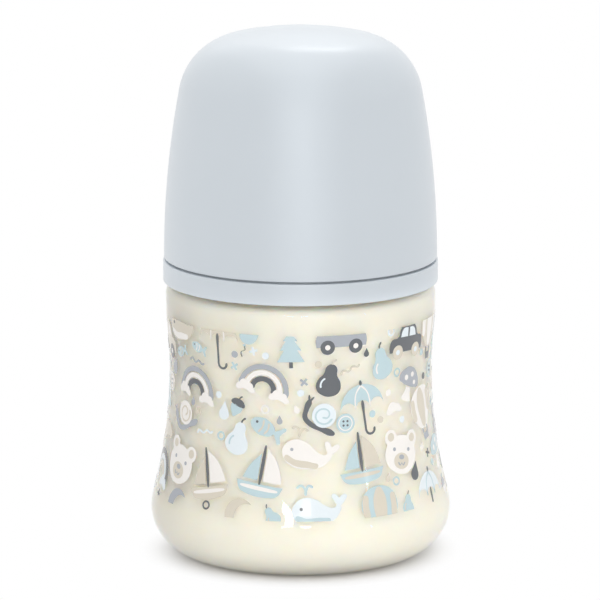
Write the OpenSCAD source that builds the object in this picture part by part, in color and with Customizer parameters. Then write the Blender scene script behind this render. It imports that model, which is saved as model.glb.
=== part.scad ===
// Wide-neck baby bottle for 150 ml, in four mouldings: a waisted clear bottle, a soft teat, a stepped
// screw collar and a smooth domed cap. It stands at z = 0 with its axis on z. The teat's flange lies on
// the bottle's rim, the collar's lip clamps it there, and the cap stands on the ledge of the collar.

/* [Bottle] */
// Diameter of the belly, the widest part
belly_d = 68.4; // [66.5:0.1:71]
// Diameter of the waist
waist_d = 59.7; // [58:0.1:60.4]
// Height of the waist above the table
waist_z = 43.1; // [39:0.1:46]
// Diameter of the shoulder, just under the collar
shoulder_d = 61.3; // [60.6:0.1:61.8]
// Height where the shoulder starts to round over
shoulder_z = 60; // [57:0.1:64]
// Radius of the round heel between foot and belly
heel_r = 10.4; // [8:0.1:11]
// Radius of the belly's upright curve
belly_r = 12; // [10:0.5:24]
// Thickness of the bottle's wall
wall = 1.5; // [1:0.1:1.8]
// Depth of the hollow under the bottle
push_up = 2.2; // [1:0.1:4]
// Width of the flat ring that the bottle stands on
foot_ring = 3; // [2:0.1:5]
// Inner diameter of the mouth
mouth_d = 49.4; // [48.6:0.1:49.8]
// Height of the neck above the shoulder
neck_h = 11; // [9:0.1:14]

/* [Collar] */
// Diameter of the collar's band
collar_d = 62.4; // [62:0.1:63.2]
// Height of the band that shows under the cap
band_h = 4.85; // [3.5:0.05:7]
// Thickness of the lip that holds the teat down
lip_t = 1.8; // [1.2:0.1:2.4]
// Diameter of the hole that the teat passes
lip_hole_d = 43; // [41:0.1:44]

/* [Teat] */
// Thickness of the teat's wall and flange
teat_wall = 1.8; // [1.2:0.1:2.2]
// Height of the teat above the collar
teat_h = 36.9; // [33:0.1:39]
// Radius of the teat's dome
dome_r = 16; // [14:0.1:17]
// Radius of the hollow curve between dome and nipple
hip_r = 12; // [10:0.1:14]
// Radius of the nipple's round tip
tip_r = 7; // [6:0.1:7.6]
// Diameter of the feeding hole
feed_hole_d = 0.6; // [0.4:0.1:1.2]

/* [Cap] */
// Diameter of the cap's foot
cap_d = 62; // [61.6:0.1:62.4]
// Height of the cap above the collar's ledge
cap_h = 52.7; // [51:0.1:58]
// Radius of the cap's gently bowed side
cap_side_r = 212; // [180:1:300]
// Radius of the round edge between side and top
cap_corner_r = 15; // [12:0.5:18]
// Radius of the slightly domed top
cap_top_r = 72; // [55:1:100]
// Thickness of the cap's wall
cap_wall = 1.5; // [1.2:0.1:1.5]

/* [Hidden] */

// The largest gap between a round outline and its chords
chord = 0.02;
// How far apart pieces stay that pass each other, and the closer gap of the cap's locating land
clear = 0.3;
land_clear = 0.1;
land_h = 1.5;
// Sharp edges are broken by this radius, and the collar's upper edge by the larger one
edge_r = 0.3;
crown_r = 1.2;

// Levels of the closure, from the shoulder up
shoulder_r = 2.7;
shoulder_top = shoulder_z + shoulder_r;
collar_foot = shoulder_top + 0.25;
ledge_z = collar_foot + band_h;
neck_top = shoulder_top + neck_h;
lip_foot = neck_top + teat_wall;
collar_top = lip_foot + lip_t;
groove_top = collar_top + 0.2;
tip_top = collar_top + teat_h;
cap_top = ledge_z + cap_h;

// Radii of the closure, from the mouth out
mouth_r = mouth_d / 2;
neck_r = mouth_r + wall;
neck_root_r = 0.8;
rim_r = 0.4;
seat_bore_r = neck_r + 0.5;
thread_bore_r = neck_r + 1.6;
seat_bore_h = 3.2;
land_r = cap_d / 2 - cap_wall - land_clear;
lip_hole_r = lip_hole_d / 2;
flange_r = neck_r + 0.1;
groove_r = lip_hole_r - clear;
bead_r = 0.6;
dome_base_r = groove_r + 1.2;

// The air vent that lets the bottle breathe: a short boss under the flange, its hole and its channel
vent_r = mouth_r - 1.8;
vent_boss_d = 2.6;
vent_boss_h = 1.4;
vent_hole_d = 0.8;
channel = [4, 0.8, 0.4];

// The cap's rim: a flat land on the ledge, stepped back outside to leave a fine seam
rim_land = 0.5;
seam_h = 0.5;

// Every outline is a chain of arcs [centre, radius, first angle, last angle]. The angles are those of
// the outward normal, so a hollow arc has a negative radius and an inset takes the same angles.
function steps(r, sweep) = max(2, ceil(abs(sweep) / (2 * acos(1 - chord / abs(r)))));
function arc_points(a, inset) =
    let (r = a[1] - inset, n = steps(r, a[3] - a[2]))
    [for (i = [0 : n]) let (t = a[2] + (a[3] - a[2]) * i / n) a[0] + r * [cos(t), sin(t)]];
function distinct(p) = [for (i = [0 : len(p) - 1]) if (i == 0 || norm(p[i] - p[i - 1]) > chord / 4) p[i]];
function points(arcs, inset = 0) = distinct([for (a = arcs) each arc_points(a, inset)]);
function reverse(p) = [for (i = [len(p) - 1 : -1 : 0]) p[i]];

// The normal's angle where two touching arcs [centre, radius] meet, and a chain with all its angles
function joint_angle(p, q) = let (way = sign(p[1] - q[1]) * (q[0] - p[0])) atan2(way.y, way.x);
function chain(arcs, first, last) =
    [for (i = [0 : len(arcs) - 1]) [
        arcs[i][0], arcs[i][1],
        i == 0 ? first : joint_angle(arcs[i - 1], arcs[i]),
        i == len(arcs) - 1 ? last : joint_angle(arcs[i], arcs[i + 1])]];

// The arc of radius r that touches arcs p and q, on the right-hand side of the way from p to q
function blend(p, q, r) =
    let (way = q[0] - p[0], gap = norm(way), u = way / gap, a = abs(p[1] - r), b = abs(q[1] - r))
    let (along = (a * a - b * b + gap * gap) / (2 * gap), off = sqrt(a * a - along * along))
    [p[0] + along * u + off * [u.y, -u.x], r];

// The bottle from the middle of its hollow foot to the shoulder. The waist's radius follows from the
// belly's, and above the waist two equal arcs make a slow S up to the shoulder.
heel_x = belly_d / 2 - heel_r;
foot_inner_r = heel_x - foot_ring;
push_up_r = (foot_inner_r * foot_inner_r + push_up * push_up) / (2 * push_up);
push_up_sweep = asin(foot_inner_r / push_up_r);
heel = [[heel_x, heel_r], heel_r];
belly = [[belly_d / 2 - belly_r, heel_r], belly_r];
waist_in = waist_d / 2 - belly[0].x;
waist_up = waist_z - heel_r;
waist_r = (waist_up * waist_up + waist_in * waist_in - belly_r * belly_r) / (2 * (belly_r - waist_in));
waist = [[waist_d / 2 + waist_r, waist_z], -waist_r];
rise = shoulder_z - waist_z;
flare = (shoulder_d - waist_d) / 2;
s_r = (rise * rise + flare * flare) / (4 * flare);
s_low = [[waist_d / 2 + s_r, waist_z], -s_r];
s_high = [[shoulder_d / 2 - s_r, shoulder_z], s_r];
shoulder = [[shoulder_d / 2 - shoulder_r, shoulder_z], shoulder_r];
body_arcs = concat(
    [[[0, push_up - push_up_r], -push_up_r, -90, -90 - push_up_sweep]],
    chain([heel, belly, waist, s_low, s_high, shoulder], -90, 90));

// The neck from its root, over the rim and down inside to the shoulder
neck_arcs = [
    [[neck_r + neck_root_r, shoulder_top + neck_root_r], -neck_root_r, 90, 0],
    [[neck_r - rim_r, neck_top - rim_r], rim_r, 0, 90],
    [[mouth_r + rim_r, neck_top - rim_r], rim_r, 90, 180],
    [[mouth_r + neck_root_r, shoulder_top - wall + neck_root_r], neck_root_r, 180, 270]];

// The teat above the collar: a bead that snaps over the lip, the dome, a hollow hip and the tip
bead = [[dome_base_r - bead_r, groove_top + bead_r], bead_r];
dome = [[dome_base_r - dome_r, bead[0].y], dome_r];
tip = [[0, tip_top - tip_r], tip_r];
hip = blend(dome, tip, -hip_r);

// The cap's side, corner and top
cap_side = [[cap_d / 2 - cap_side_r, ledge_z], cap_side_r];
cap_crown = [[0, cap_top - cap_top_r], cap_top_r];
cap_corner = blend(cap_crown, cap_side, cap_corner_r);
cap_arcs = [cap_side, cap_corner, cap_crown];
rim_angle = asin((seam_h + edge_r) / cap_side_r);

// The collar's upper skirt follows the cap, which is narrower inside at the collar's top
cap_inner_r = cap_side_r - cap_wall;
skirt_h = collar_top - ledge_z;
skirt_r = cap_side[0].x + sqrt(cap_inner_r * cap_inner_r - skirt_h * skirt_h) - clear;

module turned(outline) {
    rotate_extrude($fn = 96)
        polygon(outline);
}

module bottle() {
    color([0.97, 0.96, 0.91, 0.6])
        turned(concat(points(body_arcs), points(neck_arcs), reverse(points(body_arcs, wall))));
}

module teat() {
    outer = concat(
        [[groove_r - teat_wall, neck_top]],
        points([[[flange_r - teat_wall / 2, neck_top + teat_wall / 2], teat_wall / 2, -90, 90]]),
        [[groove_r, lip_foot], [groove_r, groove_top]],
        points(chain([bead, dome, hip, tip], -90, 90)));
    inner = concat(
        [[groove_r - teat_wall, lip_foot]],
        points(chain([dome, hip, tip], 0, 90), teat_wall));
    color([0.95, 0.95, 0.93, 0.8])
        difference() {
            union() {
                turned(concat(outer, reverse(inner)));
                translate([vent_r, 0, neck_top - vent_boss_h])
                    cylinder(d = vent_boss_d, h = vent_boss_h + teat_wall / 2, $fn = 32);
            }
            translate([vent_r, 0, neck_top - vent_boss_h - 1])
                cylinder(d = vent_hole_d, h = vent_boss_h + teat_wall + 2, $fn = 24);
            translate([vent_r, -channel.y / 2, lip_foot - channel.z])
                cube([channel.x, channel.y, channel.z + 1]);
            translate([0, 0, tip_top - teat_wall - 1])
                cylinder(d = feed_hole_d, h = teat_wall + 2, $fn = 24);
        }
}

module collar() {
    outer_r = collar_d / 2;
    outside = points([
        [[outer_r - edge_r, collar_foot + edge_r], edge_r, -90, 0],
        [[outer_r - edge_r, ledge_z - edge_r], edge_r, 0, 90]]);
    land = [[land_r, ledge_z], [land_r, ledge_z + land_h], [skirt_r, ledge_z + land_h + edge_r]];
    crown = points([
        [[skirt_r - crown_r, collar_top - crown_r], crown_r, 0, 90],
        [[lip_hole_r + edge_r, collar_top - edge_r], edge_r, 90, 180],
        [[lip_hole_r + edge_r, lip_foot + edge_r], edge_r, 180, 270]]);
    bore = [
        [seat_bore_r, lip_foot],
        [seat_bore_r, lip_foot - seat_bore_h],
        [thread_bore_r, lip_foot - seat_bore_h - (thread_bore_r - seat_bore_r)],
        [thread_bore_r, collar_foot + edge_r],
        [thread_bore_r + edge_r, collar_foot]];
    color([0.84, 0.87, 0.89])
        turned(concat(outside, land, crown, bore));
}

module cap() {
    outer_r = cap_d / 2;
    land_out = outer_r - cap_wall + rim_land;
    rim = concat(
        [[outer_r - cap_wall, ledge_z], [land_out, ledge_z], [land_out, ledge_z + seam_h]],
        points([[[outer_r - edge_r, ledge_z + seam_h + edge_r], edge_r, -90, 0]]));
    outside = points(chain(cap_arcs, rim_angle, 90));
    inside = points(chain(cap_arcs, 0, 90), cap_wall);
    color([0.84, 0.87, 0.89])
        turned(distinct(concat(rim, outside, reverse(inside))));
}

bottle();
teat();
collar();
cap();
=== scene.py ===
"""A wide-neck baby bottle filled with milk: clear waisted bottle with a print of small motifs, silicone teat,
screw collar and smooth domed cap, on a white studio floor."""

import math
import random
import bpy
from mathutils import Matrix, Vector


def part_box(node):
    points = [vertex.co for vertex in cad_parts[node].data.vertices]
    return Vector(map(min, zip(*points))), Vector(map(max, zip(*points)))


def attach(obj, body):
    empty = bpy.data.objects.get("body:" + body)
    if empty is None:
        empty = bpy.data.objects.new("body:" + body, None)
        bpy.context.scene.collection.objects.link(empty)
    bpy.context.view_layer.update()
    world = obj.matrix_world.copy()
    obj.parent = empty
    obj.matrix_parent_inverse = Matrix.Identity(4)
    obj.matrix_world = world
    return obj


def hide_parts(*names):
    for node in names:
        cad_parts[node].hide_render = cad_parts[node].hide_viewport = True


bl_info = {
    "name": "Baby Bottle",
    "version": (1, 0, 0),
    "blender": (4, 5, 0),
    "location": "View3D > Sidebar > Baby Bottle",
    "description": "Dresses the parts of a printed baby bottle and sets it in a plain studio",
    "category": "Object",
}

import bmesh
import bpy
import numpy
from bpy.props import FloatProperty, FloatVectorProperty, IntProperty, PointerProperty
from mathutils import Matrix, Vector

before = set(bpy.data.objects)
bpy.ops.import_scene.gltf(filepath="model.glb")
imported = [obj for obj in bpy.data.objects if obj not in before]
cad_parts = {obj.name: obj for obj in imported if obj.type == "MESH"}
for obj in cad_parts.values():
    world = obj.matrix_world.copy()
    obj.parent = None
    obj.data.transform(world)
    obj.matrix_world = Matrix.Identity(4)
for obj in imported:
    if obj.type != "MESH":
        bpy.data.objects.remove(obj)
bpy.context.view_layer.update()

MM = 0.001

BOTTLE_LOW, BOTTLE_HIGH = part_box("bottle")
TEAT_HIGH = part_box("teat")[1]
COLLAR_LOW, COLLAR_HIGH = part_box("collar")
CAP_LOW, CAP_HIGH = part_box("cap")

# How far a round outline may stand off its chords, the parts of a full turn, and the angle from which
# an edge is shown sharp
CHORD = 0.006 * MM
TURN_STEPS = 192
SHARP_ANGLE = math.radians(28)

# Points no further apart than this are one: in a turned outline, in a flat film, and on a cutting plane
MERGE_TURNED, MERGE_FLAT, MERGE_CUT = 0.0005 * MM, 0.001 * MM, 0.0002 * MM


# ---------------------------------------------------------------- sizes that a user would change


def length(name, description, default):
    """A length property in metres."""
    return FloatProperty(name=name, description=description, default=default, unit="LENGTH", precision=5)


def colour(name, description, default):
    """A colour property, in linear light."""
    return FloatVectorProperty(
        name=name, description=description, default=default, subtype="COLOR", size=3, min=0, max=1
    )


def linear(red, green, blue):
    """The linear colour of a colour as a screen shows it, 0 to 255."""
    shares = [level / 255 for level in (red, green, blue)]
    return tuple(s / 12.92 if s <= 0.04045 else ((s + 0.055) / 1.055) ** 2.4 for s in shares)


class BottleSizes(bpy.types.PropertyGroup):
    """The clear bottle and the milk in it."""

    belly_d: length("Belly", "Diameter at the widest part", BOTTLE_HIGH.x - BOTTLE_LOW.x)
    waist_d: length("Waist", "Diameter at the narrowest part", 59.7 * MM)
    waist_z: length("Waist height", "Height of the waist above the table", 43.1 * MM)
    shoulder_d: length("Shoulder", "Diameter just under the collar", 61.3 * MM)
    shoulder_z: length("Shoulder height", "Height where the shoulder starts to round over", 60 * MM)
    shoulder_r: length("Shoulder radius", "Radius of the shoulder's edge", 2.7 * MM)
    heel_r: length("Heel", "Radius of the round heel", 10.4 * MM)
    belly_r: length("Belly curve", "Radius of the belly's upright curve", 12 * MM)
    wall: length("Wall", "Thickness of the wall", 1.5 * MM)
    push_up: length("Push-up", "Depth of the hollow under the bottle", 2.2 * MM)
    foot_ring: length("Foot ring", "Width of the flat ring that it stands on", 3 * MM)
    mouth_d: length("Mouth", "Inner diameter of the mouth", 49.4 * MM)
    milk_z: length("Milk level", "Height of the milk above the table", 66 * MM)
    milk: colour("Milk", "Colour of the milk", linear(255, 248, 233))


class ClosureSizes(bpy.types.PropertyGroup):
    """The teat, the collar, their thread and the cap."""

    lip_t: length("Lip", "Thickness of the collar's lip", 1.8 * MM)
    lip_hole_d: length("Lip hole", "Diameter of the hole that the teat passes", 43 * MM)
    teat_wall: length("Teat wall", "Thickness of the teat", 1.8 * MM)
    dome_r: length("Teat dome", "Radius of the teat's dome", 16 * MM)
    hip_r: length("Teat hip", "Radius of the hollow between dome and nipple", 12 * MM)
    tip_r: length("Nipple tip", "Radius of the nipple's tip", 7 * MM)
    pitch: length("Pitch", "Rise of the thread in one turn", 5 * MM)
    cap_side_r: length("Cap side", "Radius of the cap's bowed side", 212 * MM)
    cap_corner_r: length("Cap corner", "Radius between the cap's side and top", 15 * MM)
    cap_top_r: length("Cap top", "Radius of the cap's domed top", 72 * MM)
    cap_wall: length("Cap wall", "Thickness of the cap", 1.5 * MM)
    plastic: colour("Plastic", "Colour of cap and collar", linear(214, 221, 227))
    silicone: colour("Silicone", "Colour of the teat", linear(243, 241, 235))


class PrintLook(bpy.types.PropertyGroup):
    """The print round the bottle and the scale on its back."""

    foot: length("Lower edge", "Height of the print's lower edge", 14.5 * MM)
    head: length("Upper edge", "Height of the print's upper edge", 56 * MM)
    scale_gap: length("Scale column", "Width left free for the scale at the back", 21 * MM)
    seed: IntProperty(name="Layout", description="Another number scatters the motifs otherwise", default=2)
    aqua: colour("Aqua", "Ink", linear(188, 209, 214))
    slate: colour("Slate", "Ink", linear(100, 103, 107))
    lavender: colour("Lavender grey", "Ink", linear(169, 173, 180))
    taupe: colour("Taupe", "Ink", linear(214, 206, 190))
    white: colour("White", "Ink", linear(240, 236, 231))
    ice: colour("Ice", "Ink", linear(226, 234, 238))


class StageLook(bpy.types.PropertyGroup):
    """The camera, the lamps and the floor."""

    aim_z: length("Aim", "Height that the camera looks at", 58 * MM)
    shift: length("Shift", "How far the bottle stands to the right of the camera's axis", 0.13 * MM)
    distance: length("Distance", "From the camera to the point that it looks at", 1.1395)
    pitch: FloatProperty(
        name="Pitch",
        description="How far the camera looks down",
        default=math.radians(11.65),
        subtype="ANGLE",
    )
    lens: FloatProperty(
        name="Lens", description="Focal length on a 36 mm sensor", default=300.6, unit="CAMERA"
    )
    surround: FloatProperty(name="Surround", description="Light from all round", default=0.8)
    shade: length("Shade", "From the bottle's axis to where the floor starts to turn pure white", 24.5 * MM)
    fade: length("Fade", "Width of the ring over which the floor turns pure white", 13 * MM)


SETTINGS = {
    "bottle_sizes": BottleSizes,
    "closure_sizes": ClosureSizes,
    "print_look": PrintLook,
    "stage_look": StageLook,
}

INKS = ("aqua", "slate", "lavender", "taupe", "white", "ice")


# ---------------------------------------------------------------- outlines, as chains of arcs


def arc(x, y, radius, first, last, count):
    """So many points on an arc, with its angles in degrees."""
    angles = [math.radians(first + (last - first) * i / (count - 1)) for i in range(count)]
    return [(x + radius * math.cos(a), y + radius * math.sin(a)) for a in angles]


def arc_points(bend, inset=0.0):
    """Points along an arc (centre, radius, first, last). The angles, in degrees, are those of the outward
    normal, so a hollow arc has a negative radius and an inset takes the same angles."""
    (x, z), radius, first, last = bend
    radius -= inset
    step = 2 * math.acos(1 - CHORD / abs(radius))
    count = max(3, math.ceil(math.radians(abs(last - first)) / step))
    return arc(x, z, radius, first, last, count + 1)


def outline(arcs, inset=0.0):
    """The points of a whole chain, without those that fall together."""
    points = []
    for bend in arcs:
        for point in arc_points(bend, inset):
            if not points or math.dist(point, points[-1]) > CHORD / 2:
                points.append(point)
    return points


def meeting_angle(first, second):
    """The outward normal's angle where two touching arcs (centre, radius) meet."""
    side = math.copysign(1, first[1] - second[1])
    return math.degrees(
        math.atan2(side * (second[0][1] - first[0][1]), side * (second[0][0] - first[0][0]))
    )


def chain(arcs, first, last):
    """The arcs with the angles at which each meets the next."""
    turns = [first] + [meeting_angle(a, b) for a, b in zip(arcs, arcs[1:])] + [last]
    return [(centre, radius, turns[i], turns[i + 1]) for i, (centre, radius) in enumerate(arcs)]


def blended(first, second, radius):
    """The arc that touches two others, on the right-hand side of the way from the first to the second."""
    start, end = Vector(first[0]), Vector(second[0])
    way = end - start
    reach_1, reach_2 = abs(first[1] - radius), abs(second[1] - radius)
    along = (reach_1**2 - reach_2**2 + way.length_squared) / (2 * way.length)
    off = math.sqrt(reach_1**2 - along**2)
    unit = way.normalized()
    centre = start + unit * along + Vector((unit.y, -unit.x)) * off
    return ((centre.x, centre.y), radius)


def body_arcs(sizes):
    """The bottle from the middle of its hollow foot to the shoulder."""
    heel_x = sizes.belly_d / 2 - sizes.heel_r
    ring_r = heel_x - sizes.foot_ring
    dish_r = (ring_r**2 + sizes.push_up**2) / (2 * sizes.push_up)
    dish_sweep = math.degrees(math.asin(ring_r / dish_r))
    belly = ((sizes.belly_d / 2 - sizes.belly_r, sizes.heel_r), sizes.belly_r)
    waist_in = sizes.waist_d / 2 - belly[0][0]
    waist_up = sizes.waist_z - sizes.heel_r
    waist_r = (waist_up**2 + waist_in**2 - sizes.belly_r**2) / (2 * (sizes.belly_r - waist_in))
    rise = sizes.shoulder_z - sizes.waist_z
    flare = (sizes.shoulder_d - sizes.waist_d) / 2
    slow_r = (rise**2 + flare**2) / (4 * flare)
    sides = chain(
        [
            ((heel_x, sizes.heel_r), sizes.heel_r),
            belly,
            ((sizes.waist_d / 2 + waist_r, sizes.waist_z), -waist_r),
            ((sizes.waist_d / 2 + slow_r, sizes.waist_z), -slow_r),
            ((sizes.shoulder_d / 2 - slow_r, sizes.shoulder_z), slow_r),
            ((sizes.shoulder_d / 2 - sizes.shoulder_r, sizes.shoulder_z), sizes.shoulder_r),
        ],
        -90,
        90,
    )
    return [((0, sizes.push_up - dish_r), -dish_r, -90, -90 - dish_sweep)] + sides


# Rounded edges: at the neck's root, on the rim, on all small edges, and on the collar's crown
NECK_ROOT_R = 0.8 * MM
RIM_R = 0.4 * MM
EDGE_R = 0.3 * MM
CROWN_R = 1.2 * MM

# Gaps between the parts: in general, round the step that centres the cap, round the neck above its thread,
# and round the thread
CLEAR = 0.3 * MM
LAND_CLEAR = 0.1 * MM
SEAT_ROOM = 0.5 * MM
THREAD_ROOM = 1.6 * MM

# The height of the collar's step and of its bore under the lip, and the teat's bead and groove for the lip
LAND_H = 1.5 * MM
SEAT_BORE_H = 3.2 * MM
BEAD_R = 0.6 * MM
BEAD_OUT = 1.2 * MM
GROOVE_PLAY = 0.2 * MM

# The ring that the cap stands on: its width. The open seam beside it: its height, how far from its middle the
# painted shade reaches, as a share of the height, and the gain that the painted shade leaves to the colour
RIM_LAND = 0.5 * MM
SEAM_H = 0.5 * MM
SEAM_SHADE_SPAN = 0.6
SEAM_SHADE_GAIN = 0.6


def neck_radius(sizes):
    """The neck's outer radius."""
    return sizes.mouth_d / 2 + sizes.wall


def neck_foot(sizes):
    """The height where the neck stands on the shoulder."""
    return sizes.shoulder_z + sizes.shoulder_r


def neck_arcs(sizes):
    """The neck from its root, over the rim and down inside to the shoulder."""
    top, foot = BOTTLE_HIGH.z, neck_foot(sizes)
    mouth_r, neck_r = sizes.mouth_d / 2, neck_radius(sizes)
    return [
        ((neck_r + NECK_ROOT_R, foot + NECK_ROOT_R), -NECK_ROOT_R, 90, 0),
        ((neck_r - RIM_R, top - RIM_R), RIM_R, 0, 90),
        ((mouth_r + RIM_R, top - RIM_R), RIM_R, 90, 180),
        ((mouth_r + NECK_ROOT_R, foot - sizes.wall + NECK_ROOT_R), NECK_ROOT_R, 180, 270),
    ]


def wall_radius(sizes):
    """A function that gives the bottle's outer radius at a height between the heel and the shoulder."""
    sides = [p for p in outline(body_arcs(sizes)[1:]) if p[0] > sizes.belly_d / 2 - sizes.heel_r]
    radii, heights = zip(*sides)
    return lambda z: float(numpy.interp(z, heights, radii))


# ---------------------------------------------------------------- making meshes


def spun(bm, geom, turns, steps, rise=0.0):
    """Sweep part of a bmesh about the z axis, with so much rise in each turn. A single turn is closed."""
    bmesh.ops.spin(
        bm,
        geom=geom,
        cent=(0, 0, 0),
        axis=(0, 0, 1),
        dvec=(0, 0, turns * rise / steps),
        angle=2 * math.pi * turns,
        steps=steps,
        use_merge=turns == 1,
    )
    if turns == 1:
        bmesh.ops.remove_doubles(bm, verts=bm.verts, dist=MERGE_TURNED)
    bmesh.ops.recalc_face_normals(bm, faces=bm.faces)


def turned(points):
    """A bmesh of an outline of (radius, height) points, turned about the z axis."""
    bm = bmesh.new()
    verts = [bm.verts.new((x, 0, z)) for x, z in points]
    pairs = list(zip(verts, verts[1:]))
    if points[0][0] > CHORD or points[-1][0] > CHORD:
        pairs.append((verts[-1], verts[0]))
    edges = [bm.edges.new(pair) for pair in pairs]
    spun(bm, verts + edges, 1, TURN_STEPS)
    return bm


def shade_smooth(bm):
    """Smooth faces, with the edges of real corners kept sharp."""
    for face in bm.faces:
        face.smooth = True
    for edge in bm.edges:
        edge.smooth = len(edge.link_faces) == 2 and edge.calc_face_angle(0) < SHARP_ANGLE


def mesh_of(name, bm):
    """The mesh of a bmesh, which is used up."""
    mesh = bpy.data.meshes.new(name)
    bm.to_mesh(mesh)
    bm.free()
    return mesh


def put_in_scene(name, data):
    """An object in the scene, of a mesh, a curve, a lamp or a camera."""
    made = bpy.data.objects.new(name, data)
    bpy.context.scene.collection.objects.link(made)
    return made


def add_piece(name, bm, material, body, stands_for=None):
    """A shown piece that rides on a body, takes a material and may stand for a CAD node."""
    shade_smooth(bm)
    mesh = mesh_of(name, bm)
    mesh.materials.append(material)
    piece = put_in_scene(name, mesh)
    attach(piece, body)
    if stands_for:
        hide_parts(stands_for)


# ---------------------------------------------------------------- shader nodes


class Wire:
    """A shader socket that takes part in sums, so that shader maths reads as plain expressions."""

    def __init__(self, graph, socket):
        self.graph = graph
        self.socket = socket

    def __add__(self, other):
        return self.graph.maths("ADD", self, other)

    __radd__ = __add__

    def __mul__(self, other):
        return self.graph.maths("MULTIPLY", self, other)

    __rmul__ = __mul__


class Graph:
    """The node tree of one material or of the world."""

    def __init__(self, owner):
        self.owner = owner
        owner.use_nodes = True
        self.tree = owner.node_tree
        self.tree.nodes.clear()

    def node(self, kind, settings=None, values=None, output=0):
        """One node: its settings first, then the values or links of its sockets; gives one output."""
        made = self.tree.nodes.new(kind)
        for key, value in (settings or {}).items():
            setattr(made, key, value)
        for key, value in (values or {}).items():
            if isinstance(value, Wire):
                self.tree.links.new(value.socket, made.inputs[key])
            else:
                made.inputs[key].default_value = value
        if not made.outputs:
            return None
        return Wire(self, made.outputs[output])

    def maths(self, operation, *values):
        """An operation on numbers or wires."""
        return self.node("ShaderNodeMath", {"operation": operation}, dict(enumerate(values)))

    def length_of(self, place):
        """How far a place lies from the origin."""
        return self.node("ShaderNodeVectorMath", {"operation": "LENGTH"}, {0: place}, output="Value")

    def place(self):
        """Object coordinates."""
        return self.node("ShaderNodeTexCoord", output="Object")

    def noise(self, scale, detail):
        """Noise on Object coordinates, with its scale in features a metre."""
        return self.node(
            "ShaderNodeTexNoise", values={"Vector": self.place(), "Scale": scale, "Detail": detail}
        )

    def mix(self, share, first, second):
        """A colour between two, by a share."""
        return self.node(
            "ShaderNodeMix", {"data_type": "RGBA"}, {"Factor": share, 6: first, 7: second}, output=2
        )

    def bump(self, height, strength, distance):
        """A bump of so many metres at most."""
        return self.node(
            "ShaderNodeBump", values={"Height": height, "Strength": strength, "Distance": distance}
        )

    def principled(self, sockets):
        """The usual surface shader, from the values or links of its sockets."""
        return self.node("ShaderNodeBsdfPrincipled", values=sockets)

    def blend(self, share, first, second):
        """A shader between two, by a share."""
        return self.node("ShaderNodeMixShader", values={0: share, 1: first, 2: second})

    def lamps_pass(self, tint, shader):
        """The shader, but rays from lamps go straight through it, and take its tint."""
        through = self.node("ShaderNodeBsdfTransparent", values={"Color": tint})
        lamp_ray = self.node("ShaderNodeLightPath", output="Is Shadow Ray")
        return self.blend(lamp_ray, shader, through)

    def finish(self, shader):
        """Give the material its surface; gives the material."""
        self.node("ShaderNodeOutputMaterial", values={"Surface": shader})
        return self.owner


WHITE = (1, 1, 1, 1)


def rgba(colour_value, gain):
    """A colour property as four numbers, a little lighter or darker by the gain."""
    return tuple(min(1.0, c * gain) for c in colour_value) + (1.0,)


def new_material(name):
    """The empty node tree of a new material."""
    return Graph(bpy.data.materials.new(name))


def satin_plastic(name, colour_value, painted_shade_r):
    """Smooth moulded plastic with the faint grain of a spark-eroded mould and a slow drift of shade. Painted
    shade darkens the bottom of the seam over the ledge, up to a radius."""
    graph = new_material(name)
    drift = graph.noise(scale=38, detail=2)
    grain = graph.noise(scale=3800, detail=3)
    place = graph.place()
    level = graph.node("ShaderNodeVectorMath", {"operation": "MULTIPLY"}, {0: place, 1: (1, 1, 0)})
    height = graph.node("ShaderNodeSeparateXYZ", values={"Vector": place}, output="Z")
    # Painted shade: the colour is darkened in the seam's recess over the ledge, where shade falls
    within = graph.maths("LESS_THAN", graph.length_of(level), painted_shade_r)
    beside = graph.maths("COMPARE", height, CAP_LOW.z + SEAM_H / 2, SEAM_H * SEAM_SHADE_SPAN)
    unshaded = graph.mix(drift, rgba(colour_value, 0.985), rgba(colour_value, 1.015))
    shade = graph.mix(within * beside, unshaded, rgba(colour_value, SEAM_SHADE_GAIN))
    surface = graph.principled({
        "Base Color": shade,
        "Roughness": 0.26 + 0.05 * drift + 0.05 * grain,
        "IOR": 1.49,
        "Subsurface Weight": 0.12,
        "Subsurface Radius": (1.0, 1.0, 1.0),
        "Subsurface Scale": 1.2 * MM,
        "Normal": graph.bump(grain, 0.35, 0.006 * MM),
    })
    return graph.finish(surface)


def clear_plastic(name):
    """Clear plastic. Rays from lamps pass straight through it, so that the milk behind it is lit."""
    graph = new_material(name)
    flow = graph.noise(scale=120, detail=1)
    glass = graph.principled({
        "Base Color": WHITE,
        "Roughness": 0.02 * flow,
        "IOR": 1.49,
        "Transmission Weight": 1.0,
        "Normal": graph.bump(flow, 0.2, 0.02 * MM),
    })
    return graph.finish(graph.lamps_pass((0.995, 0.995, 0.99, 1), glass))


def milk_material(colour_value):
    """Milk against the wall: dense and creamy, with light that spreads a little under its surface."""
    graph = new_material("milk")
    cream = graph.noise(scale=30, detail=2)
    surface = graph.principled({
        "Base Color": graph.mix(cream, rgba(colour_value, 0.992), rgba(colour_value, 1.008)),
        "Roughness": 0.5 + 0.06 * cream,
        "Specular IOR Level": 0.1,
        "Subsurface Weight": 0.6,
        "Subsurface Radius": (1.0, 0.8, 0.55),
        "Subsurface Scale": 2.5 * MM,
    })
    return graph.finish(surface)


def silicone_material(colour_value):
    """Soft translucent silicone with a fine matt bloom."""
    graph = new_material("silicone")
    bloom = graph.noise(scale=900, detail=3)
    cloud = graph.noise(scale=70, detail=1)
    surface = graph.principled({
        "Base Color": graph.mix(cloud, rgba(colour_value, 0.98), rgba(colour_value, 1.01)),
        "Roughness": 0.3 + 0.14 * bloom,
        "IOR": 1.41,
        "Transmission Weight": 0.12,
        "Subsurface Weight": 0.6,
        "Subsurface Radius": (1.0, 0.95, 0.85),
        "Subsurface Scale": 4 * MM,
        "Normal": graph.bump(bloom, 0.4, 0.01 * MM),
    })
    return graph.finish(surface)


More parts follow.
